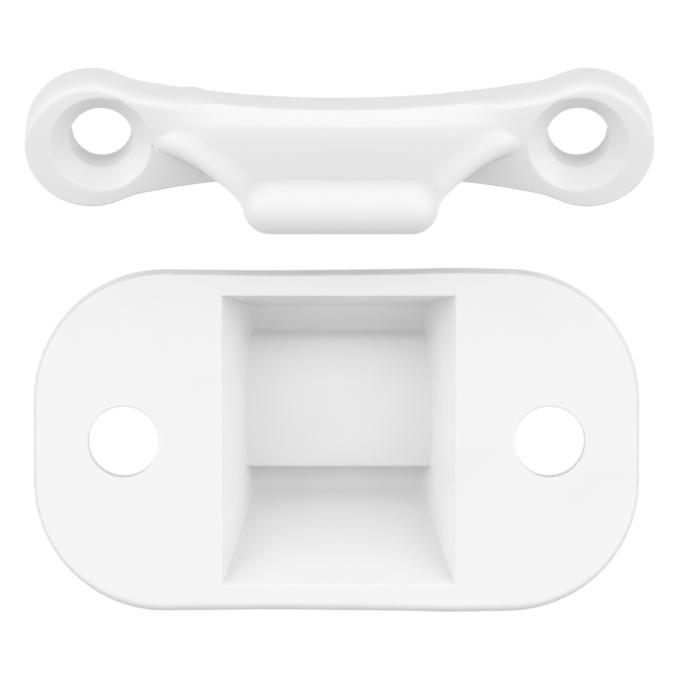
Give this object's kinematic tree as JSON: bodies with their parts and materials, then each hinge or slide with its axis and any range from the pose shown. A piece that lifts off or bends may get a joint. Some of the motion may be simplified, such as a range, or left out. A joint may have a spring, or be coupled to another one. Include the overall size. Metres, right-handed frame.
{
  "type": "door catch",
  "caption": "Moulded plastic snap door catch: a rounded keeper plate with a tapered, humped pocket, and a flared tongue on a bar with countersunk screw ears.",
  "frame": {"origin": "centre of both pieces' box, on the surface that they lie on", "axes": "+X along the plate and the bar, +Y from the keeper to the tongue, +Z out of the keeper's front face"},
  "size_m": [0.046, 0.0394, 0.0173],
  "materials": {
    "keeper_plastic": "white, satin as moulded",
    "tongue_plastic": "white, satin as moulded"
  },
  "bodies": {
    "keeper": {"keeper": "keeper_plastic"},
    "tongue": {"tongue": "tongue_plastic"}
  },
  "joints": [
    {"name": "door_swing", "type": "hinge", "parent": "keeper", "child": "tongue", "pos_m": [0, 0.00039, 0.00806], "axis": [1, 0, 0], "range_deg": [0, 158]}
  ]
}
